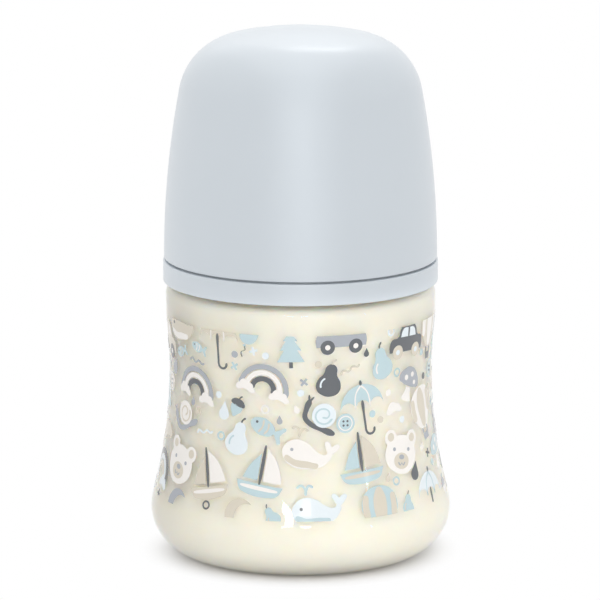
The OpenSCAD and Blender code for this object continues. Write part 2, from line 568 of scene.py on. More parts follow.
# The shares of a lamp's red, green and blue light that pass the ink
INK_PASSES = (0.7, 0.679, 0.63, 1)


def ink_material(name, colour_value):
    """Screen-printed ink: an even film with a slight mottle. It lets part of a lamp's light pass."""
    graph = new_material("ink_" + name)
    mottle = graph.noise(scale=1400, detail=3)
    patch = graph.noise(scale=160, detail=1)
    shade = graph.mix(0.5 * mottle + 0.5 * patch, rgba(colour_value, 0.96), rgba(colour_value, 1.03))
    film = graph.principled({
        "Base Color": shade,
        "Roughness": 0.08 + 0.08 * mottle,
        "Specular IOR Level": 0.5,
        "Normal": graph.bump(mottle, 0.3, 0.004 * MM),
    })
    return graph.finish(graph.lamps_pass(INK_PASSES, film))


# ---------------------------------------------------------------- bottle, milk and closure


def helix(start_z, start_turn, turns, pitch, profile):
    """A bmesh of a thread: its profile of (radius, height) points swept up a right-hand helix, with half as
    many steps in a turn as a round wall has."""
    bm = bmesh.new()
    turn = Matrix.Rotation(2 * math.pi * start_turn, 4, "Z")
    verts = [bm.verts.new(turn @ Vector((r, 0, start_z + z))) for r, z in profile]
    spun(bm, [bm.faces.new(verts)], turns, round(turns * TURN_STEPS / 2), pitch)
    return bm


# A thread's height at its root and at its crest, its depth, how far its root is let into the wall, its start
# above the shoulder, and how far the collar's start lies under the middle of the neck's gap
THREAD_ROOT_H = 1.9 * MM
THREAD_CREST_H = 0.9 * MM
THREAD_DEPTH = 1.2 * MM
THREAD_SINK = 0.1 * MM
THREAD_START = 1.7 * MM
THREAD_OFFSET = 2.35 * MM

# The turns of the neck's thread and of the collar's, and how far round the collar's starts, in turns
NECK_TURNS = 1.5
COLLAR_TURNS = 1.1
COLLAR_START = 0.5


def thread_profile(root_r, depth):
    """The four corners of a thread's section, from its root in the wall to its crest."""
    crest_r = root_r + depth
    sink = math.copysign(THREAD_SINK, depth)
    return [
        (root_r - sink, -THREAD_ROOT_H / 2),
        (crest_r, -THREAD_CREST_H / 2),
        (crest_r, THREAD_CREST_H / 2),
        (root_r - sink, THREAD_ROOT_H / 2),
    ]


class BABYBOTTLE_OT_bottle(bpy.types.Operator):
    """Make the clear bottle with the thread on its neck"""

    bl_idname = "babybottle.bottle"
    bl_label = "Bottle"

    def execute(self, context):
        sizes, closure = context.scene.bottle_sizes, context.scene.closure_sizes
        arcs = body_arcs(sizes)
        points = outline(arcs) + outline(neck_arcs(sizes)) + outline(arcs, sizes.wall)[::-1]
        plastic = clear_plastic("clear_plastic")
        add_piece("bottle_wall", turned(points), plastic, "bottle", "bottle")
        profile = thread_profile(neck_radius(sizes), THREAD_DEPTH)
        thread = helix(neck_foot(sizes) + THREAD_START, 0, NECK_TURNS, closure.pitch, profile)
        add_piece("neck_thread", thread, plastic, "bottle")
        return {"FINISHED"}


# How far the milk is let into the wall, and how high it creeps up it
SOAK = 0.06 * MM
MENISCUS = 0.7 * MM


class BABYBOTTLE_OT_milk(bpy.types.Operator):
    """Fill the bottle with milk, up into the neck"""

    bl_idname = "babybottle.milk"
    bl_label = "Milk"

    def execute(self, context):
        sizes = context.scene.bottle_sizes
        inside = outline(body_arcs(sizes), sizes.wall - SOAK)
        neck_r = sizes.mouth_d / 2 + SOAK
        level = [
            (neck_r, neck_foot(sizes) - sizes.wall + SOAK),
            (neck_r, sizes.milk_z + MENISCUS),
            (neck_r - MENISCUS / 2, sizes.milk_z + MENISCUS / 4),
            (neck_r - 2 * MENISCUS, sizes.milk_z),
            (0, sizes.milk_z),
        ]
        add_piece("milk", turned(inside + level), milk_material(sizes.milk), "bottle")
        return {"FINISHED"}


# The feeding hole, and the air vent with its boss: radii, height and distance in from the bottle's mouth
FEED_HOLE_R = 0.3 * MM
VENT_HOLE_R = 0.4 * MM
VENT_BOSS_R = 1.3 * MM
VENT_BOSS_H = 1.4 * MM
VENT_IN = 1.8 * MM


class BABYBOTTLE_OT_teat(bpy.types.Operator):
    """Make the silicone teat with its flange, air vent and feeding hole"""

    bl_idname = "babybottle.teat"
    bl_label = "Teat"

    def execute(self, context):
        sizes, closure = context.scene.bottle_sizes, context.scene.closure_sizes
        wall = closure.teat_wall
        seat = BOTTLE_HIGH.z
        lip_foot = COLLAR_HIGH.z - closure.lip_t
        groove_r = closure.lip_hole_d / 2 - CLEAR
        groove_top = COLLAR_HIGH.z + GROOVE_PLAY
        base_r = groove_r + BEAD_OUT
        flange_r = neck_radius(sizes) + LAND_CLEAR
        bead = ((base_r - BEAD_R, groove_top + BEAD_R), BEAD_R)
        dome = ((base_r - closure.dome_r, groove_top + BEAD_R), closure.dome_r)
        tip = ((0, TEAT_HIGH.z - closure.tip_r), closure.tip_r)
        hip = blended(dome, tip, -closure.hip_r)
        outside = (
            [(groove_r - wall, seat)]
            + arc_points(((flange_r - wall / 2, seat + wall / 2), wall / 2, -90, 90))
            + [(groove_r, lip_foot), (groove_r, groove_top)]
            + outline(chain([bead, dome, hip, tip], -90, self.hole_angle(closure.tip_r)))
        )
        inner_arcs = chain([dome, hip, tip], 0, self.hole_angle(closure.tip_r - wall))
        inside = [(groove_r - wall, lip_foot)] + outline(inner_arcs, wall)
        silicone = silicone_material(closure.silicone)
        add_piece("teat_skin", turned(outside + inside[::-1]), silicone, "teat", "teat")
        boss = turned(
            [
                (VENT_HOLE_R, seat - VENT_BOSS_H),
                (VENT_BOSS_R, seat - VENT_BOSS_H),
                (VENT_BOSS_R, seat + wall / 2),
                (VENT_HOLE_R, seat + wall / 2),
            ]
        )
        bmesh.ops.translate(boss, verts=boss.verts, vec=(sizes.mouth_d / 2 - VENT_IN, 0, 0))
        add_piece("vent_boss", boss, silicone, "teat")
        return {"FINISHED"}

    def hole_angle(self, tip_radius):
        """The angle on the tip's arc where the feeding hole begins."""
        return math.degrees(math.acos(FEED_HOLE_R / tip_radius))


class BABYBOTTLE_OT_collar(bpy.types.Operator):
    """Make the screw collar with its ledge, lip and inner thread"""

    bl_idname = "babybottle.collar"
    bl_label = "Collar"

    def execute(self, context):
        sizes, closure = context.scene.bottle_sizes, context.scene.closure_sizes
        outer_r = COLLAR_HIGH.x
        foot, top, ledge = COLLAR_LOW.z, COLLAR_HIGH.z, CAP_LOW.z
        lip_foot = top - closure.lip_t
        hole_r = closure.lip_hole_d / 2
        seat_r, bore_r = neck_radius(sizes) + SEAT_ROOM, neck_radius(sizes) + THREAD_ROOM
        land_r = CAP_HIGH.x - closure.cap_wall - LAND_CLEAR
        cap_inner_r = closure.cap_side_r - closure.cap_wall
        skirt_r = CAP_HIGH.x - closure.cap_side_r + math.sqrt(cap_inner_r**2 - (top - ledge) ** 2) - CLEAR
        points = outline(
            [
                ((outer_r - EDGE_R, foot + EDGE_R), EDGE_R, -90, 0),
                ((outer_r - EDGE_R, ledge - EDGE_R), EDGE_R, 0, 90),
            ]
        )
        points += [(land_r, ledge), (land_r, ledge + LAND_H), (skirt_r, ledge + LAND_H + EDGE_R)]
        points += outline(
            [
                ((skirt_r - CROWN_R, top - CROWN_R), CROWN_R, 0, 90),
                ((hole_r + EDGE_R, top - EDGE_R), EDGE_R, 90, 180),
                ((hole_r + EDGE_R, lip_foot + EDGE_R), EDGE_R, 180, 270),
            ]
        )
        seat_foot = lip_foot - SEAT_BORE_H
        points += [
            (seat_r, lip_foot),
            (seat_r, seat_foot),
            (bore_r, seat_foot - (bore_r - seat_r)),
            (bore_r, foot + EDGE_R),
            (bore_r + EDGE_R, foot),
        ]
        plastic = satin_plastic("satin_collar", closure.plastic, land_r + EDGE_R)
        add_piece("collar_ring", turned(points), plastic, "collar", "collar")
        start = neck_foot(sizes) + THREAD_START + closure.pitch / 2 - THREAD_OFFSET
        profile = thread_profile(bore_r, -THREAD_DEPTH)
        thread = helix(start, COLLAR_START, COLLAR_TURNS, closure.pitch, profile)
        add_piece("collar_thread", thread, plastic, "collar")
        return {"FINISHED"}


class BABYBOTTLE_OT_cap(bpy.types.Operator):
    """Make the domed cap"""

    bl_idname = "babybottle.cap"
    bl_label = "Cap"

    def execute(self, context):
        closure = context.scene.closure_sizes
        outer_r, rim = CAP_HIGH.x, CAP_LOW.z
        side = ((outer_r - closure.cap_side_r, rim), closure.cap_side_r)
        crown = ((0, CAP_HIGH.z - closure.cap_top_r), closure.cap_top_r)
        arcs = [side, blended(crown, side, closure.cap_corner_r), crown]
        rim_angle = math.degrees(math.asin((SEAM_H + EDGE_R) / closure.cap_side_r))
        land_out = outer_r - closure.cap_wall + RIM_LAND
        foot = [(outer_r - closure.cap_wall, rim), (land_out, rim), (land_out, rim + SEAM_H)]
        foot += arc_points(((outer_r - EDGE_R, rim + SEAM_H + EDGE_R), EDGE_R, -90, 0))
        outside = outline(chain(arcs, rim_angle, 90))
        inside = outline(chain(arcs, 0, 90), closure.cap_wall)
        points = foot[:-1] + outside + inside[:0:-1]
        plastic = satin_plastic("satin_cap", closure.plastic, land_out + EDGE_R)
        add_piece("cap_dome", turned(points), plastic, "cap", "cap")
        return {"FINISHED"}


# ---------------------------------------------------------------- the print's motifs

# A motif is drawn in millimetres about its own middle. Each of its layers has an ink (0 main, 1 second,
# 2 accent), a level above the wall and a closed loop. A loop's points are smooth, or sharp with a third
# number of 1.


def sharp(points):
    """The same points as corners."""
    return [(x, y, 1) for x, y in points]


def oval(x, y, wide, high):
    """An oval of so much reach to the side and upwards."""
    return [(x + wide, y), (x, y + high), (x - wide, y), (x, y - high)]


def disc(x, y, radius):
    """A circle."""
    return oval(x, y, radius, radius)


def mirrored(half):
    """A loop from its right half, given from the top down."""
    return half + [(-x, *rest) for x, *rest in half[::-1] if x > 0]


def both(ink, level, loop):
    """Two layers of a motif: a loop, and its mirror image at the other side."""
    return [(ink, level, [(-x, *rest) for x, *rest in loop]), (ink, level, loop)]


def stroke(path, width):
    """A band with round ends along an open path."""
    sides = ([], [])
    for i, (x, y) in enumerate(path):
        before, after = path[max(i - 1, 0)], path[min(i + 1, len(path) - 1)]
        along = Vector((after[0] - before[0], after[1] - before[1])).normalized() * width / 2
        sides[0].append((x - along.y, y + along.x))
        sides[1].append((x + along.y, y - along.x))
        if i == 0:
            start = (x - along.x, y - along.y)
    end = (x + along.x, y + along.y)
    return [start] + sides[0] + [end] + sides[1][::-1]


PUFF_STEPS = 72


def puff(discs, base):
    """The outline round overlapping discs, seen from a middle point, with a straight base."""
    points = []
    for i in range(PUFF_STEPS):
        angle = 2 * math.pi * i / PUFF_STEPS
        way = Vector((math.cos(angle), math.sin(angle)))
        reach = 0
        for x, y, radius in discs:
            across = way.cross(Vector((x, y)))
            if abs(across) < radius:
                reach = max(reach, way.dot(Vector((x, y))) + math.sqrt(radius**2 - across**2))
        if way.y * reach < base:
            reach = base / way.y
        points.append((way.x * reach, way.y * reach))
    return sharp(points)


def crescent(outer, inner, offset):
    """A moon between two circles whose middles lie apart by the offset."""
    x = (outer**2 - inner**2 + offset**2) / (2 * offset)
    y = math.sqrt(outer**2 - x**2)
    horn, inside = math.degrees(math.atan2(y, x)), math.degrees(math.atan2(y, x - offset))
    back = arc(0, 0, outer, horn, 360 - horn, 25)
    hollow = arc(offset, 0, inner, 360 - inside, inside, 21)
    return sharp(back + hollow[1:-1])


def raindrop(x, y, radius, height):
    """A drop with its point at the top."""
    lean = math.degrees(math.acos(radius / height))
    return [(x, y + height, 1)] + sharp(arc(x, y, radius, 90 + lean, 450 - lean, 21))


CLOUD = puff([(-2.9, -0.7, 1.7), (-0.9, 0.9, 2.3), (1.7, 0.3, 1.9), (3.3, -0.9, 1.4)], -2.1)
WAVE = [(-4.5, -0.5), (-3.4, 0.5), (-2.2, 0.1), (-1.1, -0.6), (0, -0.3), (1.1, 0.5), (2.2, 0.2), (3.4, -0.5),
        (4.5, -0.1)]
UMBRELLA_SCALLOPS = sum((arc(x, 0.2, 1.5, 180, 0, 9) for x in (-3, 0, 3)), [])

MOTIFS = {
    "whale": [
        (0, 0, [(-4.7, -0.5), (-4.2, 1.1), (-2.4, 2.2), (-0.2, 1.8), (1.7, 0.5), (3.2, 0.2), (3.9, 0.9),
                (4.4, 0.5), (4.0, -0.9), (2.6, -2.2), (0.0, -2.9), (-3.0, -2.6)]),
        (0, 0.1, [(4.15, 0.5), (3.1, 1.5), (2.9, 2.6), (4.0, 2.1)]),
        (0, 0.2, [(4.1, 0.5), (5.2, 1.2), (5.6, 2.3), (4.4, 2.0)]),
        (1, 1, [(-4.1, -1.2), (-2.0, -1.5), (0.9, -1.5), (2.3, -1.95), (0.0, -2.65), (-2.8, -2.4)]),
        (2, 1, disc(-3.0, 0.2, 0.3)),
        (1, 0, stroke([(-2.1, 2.8), (-2.15, 3.7), (-2.9, 4.4), (-3.6, 4.1)], 0.42)),
        (1, 0.1, stroke([(-2.0, 3.5), (-1.5, 4.3), (-0.8, 4.1)], 0.42)),
    ],
    "airship": [
        (0, 0, mirrored([(0, 5.2), (2.9, 4.2), (4.0, 1.7), (3.0, -0.9), (1.2, -2.7)])),
        (1, 1, mirrored([(0, 5.0), (1.1, 3.8), (1.45, 1.7), (1.1, -0.7), (0.4, -2.6)])),
        *both(1, 1, [(3.0, 3.75), (3.75, 1.7), (2.85, -0.7), (2.5, 1.6)]),
        *both(2, 0, stroke([(1.0, -2.9), (0.85, -4.0)], 0.25)),
        (2, 0.1, sharp([(-1.15, -3.9), (1.15, -3.9), (0.9, -5.2), (-0.9, -5.2)])),
    ],
    "sailboat": [
        (0, 0, [(-4.4, -2.1, 1), (4.4, -2.1, 1), (3.6, -3.7), (2.3, -4.2), (-2.3, -4.2), (-3.6, -3.7)]),
        (1, 1, stroke([(-3.4, -2.9), (3.4, -2.9)], 0.4)),
        (2, 0, stroke([(0, -2.1), (0, 4.9)], 0.36)),
        (1, 0, [(0.5, 4.5, 1), (2.6, 2.4), (3.7, -0.1), (4.0, -1.5, 1), (0.5, -1.5, 1)]),
        (0, 0, [(-0.5, 3.5, 1), (-0.5, -1.5, 1), (-3.4, -1.5, 1), (-2.4, 1.0)]),
    ],
    "umbrella": [
        (0, 0, sharp(arc(0, 0.2, 4.5, 0, 180, 31) + UMBRELLA_SCALLOPS[1:-1])),
        *both(1, 1, stroke([(0.1, 4.4), (1.1, 3.2), (1.5, 1.5), (1.5, 0.5)], 0.25)),
        (2, 0, stroke([(0, 5.3), (0, 4.6)], 0.4)),
        (2, 0, stroke([(0, 1.5), (0, -1.0), (0, -3.4)] + arc(0.9, -3.9, 0.9, 180, 360, 5), 0.42)),
    ],
    "bear": [
        (0, 0, oval(0, -0.5, 4.1, 3.6)),
        *both(0, 0.1, disc(2.9, 2.5, 1.5)),
        *both(1, 1, disc(2.9, 2.6, 0.8)),
        (1, 1, oval(0, -1.7, 1.9, 1.5)),
        (2, 2, oval(0, -1.0, 0.65, 0.45)),
        (2, 2, stroke([(-0.8, -2.0), (-0.35, -2.45), (0, -2.1), (0.35, -2.45), (0.8, -2.0)], 0.22)),
        *both(2, 1, disc(1.9, 0.4, 0.36)),
    ],
    "rainbow": [
        (0, 0, stroke(arc(0, -2.4, 4.4, 0, 180, 13), 0.95)),
        (1, 0, stroke(arc(0, -2.4, 3.25, 0, 180, 13), 0.95)),
        (2, 0, stroke(arc(0, -2.4, 2.1, 0, 180, 11), 0.95)),
        (1, 1, [(x * 0.42 - 3.3, y * 0.42 - 2.8, 1) for x, y, _ in CLOUD]),
        (1, 1, [(x * 0.42 + 3.3, y * 0.42 - 2.8, 1) for x, y, _ in CLOUD]),
    ],
    "car": [
        (0, 0, [(-4.8, -2.0, 1), (-4.9, -0.5), (-4.3, 0.5), (-2.9, 0.8), (-2.1, 2.6), (-1.2, 3.1), (1.3, 3.1),
                (2.2, 2.5), (3.0, 0.9), (4.4, 0.5), (4.9, -0.6), (4.8, -2.0, 1)]),
        (1, 1, [(-2.2, 0.8, 1), (-1.7, 2.2), (-1.2, 2.5), (-0.2, 2.5, 1), (-0.2, 0.8, 1)]),
        (1, 1, [(0.3, 0.8, 1), (0.3, 2.5, 1), (1.2, 2.5), (1.8, 2.1), (2.3, 0.8, 1)]),
        *both(2, 1, disc(2.7, -2.0, 1.35)),
        *both(1, 2, disc(2.7, -2.0, 0.5)),
    ],
    "cloud": [(0, 0, CLOUD)],
    "toadstool": [
        (0, 0, mirrored([(0, 4.5), (3.2, 3.2), (4.4, 0.4), (2.4, -0.4), (0.8, -0.6)])),
        (1, 0, mirrored([(0, -0.9, 1), (1.1, -0.9, 1), (1.15, -2.4), (1.9, -4.2), (0.7, -4.6)])),
        (1, 1, disc(-1.7, 1.3, 0.75)),
        (1, 1, disc(0.7, 2.7, 0.7)),
        (1, 1, disc(2.3, 0.9, 0.6)),
    ],
    "acorn": [
        (0, 0, mirrored([(0, 0.2), (2.7, 0.1), (2.5, -2.0), (1.2, -3.9), (0.25, -4.9)])),
        (2, 0.1, mirrored([(0, 3.3), (2.7, 2.4), (3.4, 0.7), (1.8, 0.1), (0.5, 0.0)])),
        (2, 0.2, stroke([(0, 3.1), (0.1, 4.0), (0.7, 4.8)], 0.6)),
    ],
    "pear": [
        (0, 0, mirrored([(0, 3.8), (1.3, 3.1), (1.8, 1.0), (3.1, -1.0), (3.1, -3.2), (1.4, -4.6)])),
        (1, 1, stroke(arc(0, -1.9, 2.1, 130, 200, 6), 0.45)),
        (2, 0, stroke([(0, 3.9), (0.2, 4.5), (0.7, 5.1)], 0.45)),
    ],
    "fish": [
        (0, 0, [(-4.4, 0), (-2.6, 1.9), (0.3, 2.1), (2.6, 0.4), (2.6, -0.4), (0.3, -2.1), (-2.6, -1.9)]),
        (0, 0.1, [(2.2, 0, 1), (3.4, 1.2), (4.9, 2.3), (4.3, 0), (4.9, -2.3), (3.4, -1.2)]),
        (1, 1, stroke([(-1.3, 1.6), (-0.9, 0), (-1.3, -1.6)], 0.4)),
        (1, 1, stroke([(0.3, 1.4), (0.7, 0), (0.3, -1.4)], 0.4)),
        (2, 1, disc(-2.8, 0.5, 0.36)),
    ],
    "snail": [
        (2, 0, stroke([(-4.1, 2.2), (-4.0, 0.0), (-3.5, -2.0), (-1.8, -3.0), (1.5, -3.2), (4.8, -3.2)], 1.3)),
        (2, 0.1, stroke([(-4.2, 2.4), (-4.8, 3.7)], 0.32)),
        (2, 0.2, stroke([(-4.0, 2.4), (-3.5, 3.7)], 0.32)),
        (0, 1, disc(0.9, 0.3, 3.2)),
        (1, 2, stroke([(3.2, 0.2), (2.4, -1.3), (0.8, -1.9), (-0.8, -1.1), (-1.1, 0.6), (0.2, 1.9),
                       (1.8, 1.6), (2.0, 0.2), (0.9, -0.3)], 0.42)),
    ],
    "toy_balloon": [
        (0, 0, oval(0, 1.9, 2.6, 3.1)),
        (0, 0.1, sharp([(0, -1.0), (0.6, -1.9), (-0.6, -1.9)])),
        (1, 1, stroke(arc(0, 1.9, 1.75, 100, 165, 5), 0.42)),
        (2, 0, stroke([(0, -1.9), (0.5, -2.8), (-0.3, -3.7), (0.3, -4.8)], 0.25)),
    ],
    "moon": [(0, 0, crescent(4.2, 3.4, 2.0))],
    "fir": [
        (0, 0, sharp(mirrored([(0, 5.0), (1.9, 2.4), (1.1, 2.5), (2.8, -0.1), (1.7, 0.0), (3.6, -3.2)]))),
        (2, 0, sharp([(-0.5, -3.2), (0.5, -3.2), (0.5, -4.8), (-0.5, -4.8)])),
    ],
    "raindrop": [(0, 0, raindrop(0, -1.2, 2.6, 5.6))],
    "button": [
        (0, 0, disc(0, 0, 4.2)),
        (1, 1, disc(0, 0, 3.3)),
        (1, 1, disc(0, 0, 2.8)),
        *both(2, 1, disc(0.9, 0.9, 0.5)),
        *both(2, 1, disc(0.9, -0.9, 0.5)),
    ],
    "wave": [(0, 0, stroke(WAVE, 0.9))],
    "dot": [(0, 0, disc(0, 0, 3.2))],
    "ring": [(0, 0, disc(0, 0, 4.2)), (0, 0, disc(0, 0, 2.5))],
    "plus": [
        (0, 0, sharp([(-1, 4), (1, 4), (1, 1), (4, 1), (4, -1), (1, -1), (1, -4), (-1, -4), (-1, -1),
                      (-4, -1), (-4, 1), (-1, 1)])),
    ],
}

# How big the motifs of each group are, how often a place is tried, the gap kept round them and the
# furthest that they lean, in degrees
MOTIF_GROUPS = [
    (1.22, 500, 0.95, 16, ("whale", "airship", "sailboat", "umbrella", "bear", "rainbow", "car")),
    (0.86, 1400, 0.85, 26,
     ("cloud", "toadstool", "acorn", "pear", "fish", "snail", "toy_balloon", "moon", "fir")),
    (0.52, 1800, 0.75, 34, ("cloud", "raindrop", "button", "moon", "fish", "wave", "acorn", "pear")),
    (0.25, 700, 0.8, 45, ("dot", "ring", "plus", "raindrop", "dot")),
]

# The furthest that a motif reaches from its middle, and the sizes at which its loops are repeated inside it
# when it is kept off its neighbours
MOTIF_REACH = 5.8
SHRUNK_LOOPS = (1, 0.66, 0.33)

# The inks of a motif: main, second and accent
COLOURINGS = [
    ("aqua", "white", "slate"),
    ("slate", "ice", "taupe"),
    ("lavender", "white", "slate"),
    ("taupe", "white", "slate"),
    ("white", "taupe", "lavender"),
    ("aqua", "taupe", "slate"),
    ("ice", "aqua", "slate"),
]

# An ink's thickness, the rise from one level to the next, and the widest and highest flat patch of a film
INK_FILM = 0.035 * MM
INK_LEVEL = 0.03 * MM
CUT_ROUND = 1.5 * MM
CUT_UP = 2.5 * MM

# The steps between two points of a loop: of a wide one, from this width on, and of a small one
WIDE_LOOP = 2.5 * MM
WIDE_STEPS, SMALL_STEPS = 7, 4


def covered(name):
    """Points spread over a motif, as complex numbers: its loops, each repeated smaller inside itself."""
    points = []
    for _, _, loop in MOTIFS[name]:
        edge = numpy.array([complex(x, y) for x, y, *_ in loop])
        halves = (edge + numpy.roll(edge, 1)) / 2
        edge = numpy.concatenate((edge, halves))
        points += [edge.mean() + (edge - edge.mean()) * share for share in SHRUNK_LOOPS]
    return numpy.concatenate(points)


def scattered(look, half_width):
    """Places for the motifs, as (name, inks, u, z, size, lean): the big ones first, and smaller ones in
    the room between them."""
    dice = random.Random(look.seed)
    spread = {name: covered(name) for name in MOTIFS}
    placed, areas = [], []
    for size, tries, gap, lean, names in MOTIF_GROUPS:
        size *= MM
        reach = MOTIF_REACH * size
        deck, hues = [], []
        for _ in range(tries):
            deck = deck or dice.sample(names, len(names))
            hues = hues or dice.sample(COLOURINGS, len(COLOURINGS))
            turn = math.radians(dice.uniform(-lean, lean))
            place = complex(
                dice.uniform(-half_width + reach, half_width - reach), dice.uniform(look.foot, look.head)
            )
            area = place + spread[deck[-1]] * size * complex(math.cos(turn), math.sin(turn))
            near = [other for middle, far, other in areas if abs(place - middle) < reach + far + gap * MM]
            if any(abs(area[:, None] - other[None, :]).min() < gap * MM for other in near):
                continue
            placed.append((deck.pop(), hues.pop(), place.real, place.imag, size, turn))
            areas.append((place, reach, area))
    return placed


def filled(loops):
    """A flat mesh of closed loops, where a loop inside another is a hole."""
    curve = bpy.data.curves.new("loops", "CURVE")
    curve.dimensions = "2D"
    curve.fill_mode = "BOTH"
    for loop in loops:
        spline = curve.splines.new("BEZIER")
        spline.bezier_points.add(len(loop) - 1)
        spline.use_cyclic_u = True
        spread = max(p[0] for p in loop) - min(p[0] for p in loop)
        spline.resolution_u = WIDE_STEPS if spread > WIDE_LOOP else SMALL_STEPS
        for point, (x, y, *corner) in zip(spline.bezier_points, loop):
            point.co = (x, y, 0)
            kind = "VECTOR" if corner else "AUTO"
            point.handle_left_type = kind
            point.handle_right_type = kind
    return meshed(curve)


def meshed(curve):
    """The mesh of a flat curve or of words."""
    holder = put_in_scene("holder", curve)
    bpy.context.view_layer.update()
    mesh = bpy.data.meshes.new_from_object(holder.evaluated_get(bpy.context.evaluated_depsgraph_get()))
    bpy.data.objects.remove(holder)
    return mesh


def cut_across(bm, place, normal, keep_below=False, keep_above=False):
    """Cut all faces along a plane, and keep both sides or one."""
    bmesh.ops.bisect_plane(
        bm,
        geom=bm.verts[:] + bm.edges[:] + bm.faces[:],
        dist=MERGE_CUT,
        plane_co=place,
        plane_no=normal,
        clear_outer=keep_below,
        clear_inner=keep_above,
    )


def wrapped(meshes, level, radius_at, mean_r, foot=None, head=None):
    """Lay flat meshes round the bottle as a film of ink: x goes round it, y up it."""
    bm = bmesh.new()
    for mesh in meshes:
        bm.from_mesh(mesh)
    bmesh.ops.remove_doubles(bm, verts=bm.verts, dist=MERGE_FLAT)
    bmesh.ops.triangulate(bm, faces=bm.faces)
    if head:
        cut_across(bm, (0, head, 0), (0, 1, 0), keep_below=True)
        cut_across(bm, (0, foot, 0), (0, 1, 0), keep_above=True)
    if not bm.faces:
        return bm
    for normal, step in ((Vector((1, 0, 0)), CUT_ROUND), (Vector((0, 1, 0)), CUT_UP)):
        reach = [v.co.dot(normal) for v in bm.verts]
        low = min(reach)
        for i in range(1, math.ceil((max(reach) - low) / step)):
            cut_across(bm, normal * (low + i * step), normal)
    raised = bmesh.ops.extrude_face_region(bm, geom=bm.faces[:])["geom"]
    film = [v for v in raised if isinstance(v, bmesh.types.BMVert)]
    bmesh.ops.translate(bm, verts=film, vec=(0, 0, INK_FILM))
    for v in bm.verts:
        angle = v.co.x / mean_r
        radius = radius_at(v.co.y) + level * INK_LEVEL + v.co.z
        v.co = (radius * math.sin(angle), -radius * math.cos(angle), v.co.y)
    bmesh.ops.recalc_face_normals(bm, faces=bm.faces)
    return bm


def add_film(target, film):
    """Add one bmesh to another."""
    mesh = mesh_of("film", film)
    target.from_mesh(mesh)
    bpy.data.meshes.remove(mesh)


class BABYBOTTLE_OT_print(bpy.types.Operator):
    """Print the small motifs round the bottle, one piece for each ink"""

    bl_idname = "babybottle.print"
    bl_label = "Print"

    def execute(self, context):
        look = context.scene.print_look
        radius_at = wall_radius(context.scene.bottle_sizes)
        mean_r = radius_at((look.foot + look.head) / 2)
        layers = {}
        for name, inks, u, z, size, turn in scattered(look, math.pi * mean_r - look.scale_gap / 2):
            wide = mean_r / radius_at(z)
            for ink, level, loop in MOTIFS[name]:
                placed = []
                for x, y, *corner in loop:
                    across = x * math.cos(turn) - y * math.sin(turn)
                    up = x * math.sin(turn) + y * math.cos(turn)
                    placed.append((u + across * size * wide, z + up * size, *corner))
                layers.setdefault((inks[ink], level), []).append(placed)
        for ink in INKS:
            film = bmesh.new()
            for (name, level), loops in layers.items():
                if name == ink:
                    add_film(film, wrapped([filled(loops)], level, radius_at, mean_r, look.foot, look.head))
            add_piece("print_" + ink, film, ink_material(ink, getattr(look, ink)), "bottle")
        return {"FINISHED"}


ML_PER_M3 = 1e6

# The scale in millilitres: its first and last mark, from one mark to the next, and from number to number
SCALE_FIRST, SCALE_LAST, SCALE_STEP, SCALE_NUMBERED = 30, 150, 10, 30

# How far left of the back's middle the marks begin, their lengths and width, where the numbers begin, their
# size, and how far the unit stands above the last one
MARK_LEFT = 7 * MM
LONG_MARK, SHORT_MARK, MARK_WIDTH = 6.5 * MM, 3.5 * MM, 0.4 * MM
NUMBER_LEFT, NUMBER_SIZE, UNIT_UP = 0.6 * MM, 3.6 * MM, 3.2 * MM


class BABYBOTTLE_OT_scale(bpy.types.Operator):
    """Print the scale in millilitres on the back"""

    bl_idname = "babybottle.scale"
    bl_label = "Scale"

    def execute(self, context):
        sizes, look = context.scene.bottle_sizes, context.scene.print_look
        inside = outline(body_arcs(sizes), sizes.wall)
        held, heights, volumes = 0.0, [], []
        # Each ring of the inside adds a cut cone, less than nothing where the floor falls towards the heel
        for (r0, z0), (r1, z1) in zip(inside, inside[1:]):
            held += math.pi * (r0 * r0 + r0 * r1 + r1 * r1) / 3 * (z1 - z0)
            if z1 > sizes.push_up + sizes.wall:
                heights.append(z1)
                volumes.append(held * ML_PER_M3)
        radius_at = wall_radius(sizes)
        back = math.pi * radius_at(sizes.waist_z)
        left = back - MARK_LEFT
        loops, words = [], []
        for volume in range(SCALE_FIRST, SCALE_LAST + 1, SCALE_STEP):
            z = numpy.interp(volume, volumes, heights)
            numbered = volume % SCALE_NUMBERED == 0
            mark = stroke([(left, z), (left + (LONG_MARK if numbered else SHORT_MARK), z)], MARK_WIDTH)
            loops.append(sharp(mark[1:3] + mark[4:]))
            if numbered:
                words.append(self.number(str(volume), back + NUMBER_LEFT, z))
        words.append(self.number("ml", back + NUMBER_LEFT, z + UNIT_UP))
        film = wrapped([filled(loops)] + words, 0, radius_at, radius_at(sizes.waist_z))
        ink = ink_material("scale", look.slate)
        add_piece("measuring_scale", film, ink, "bottle")
        return {"FINISHED"}

    def number(self, words, u, z):
        """Flat words whose middle line is at a height."""
        text = bpy.data.curves.new("number", "FONT")
        text.body = words
        text.size = NUMBER_SIZE
        text.align_y = "CENTER"
        mesh = meshed(text)
        mesh.transform(Matrix.Translation((u, z, 0)))
        return mesh


# ---------------------------------------------------------------- stage


# From the bottle to the floor's edge, and the furthest that the camera sees, in metres
FLOOR_REACH = 4
VIEW_REACH = 20

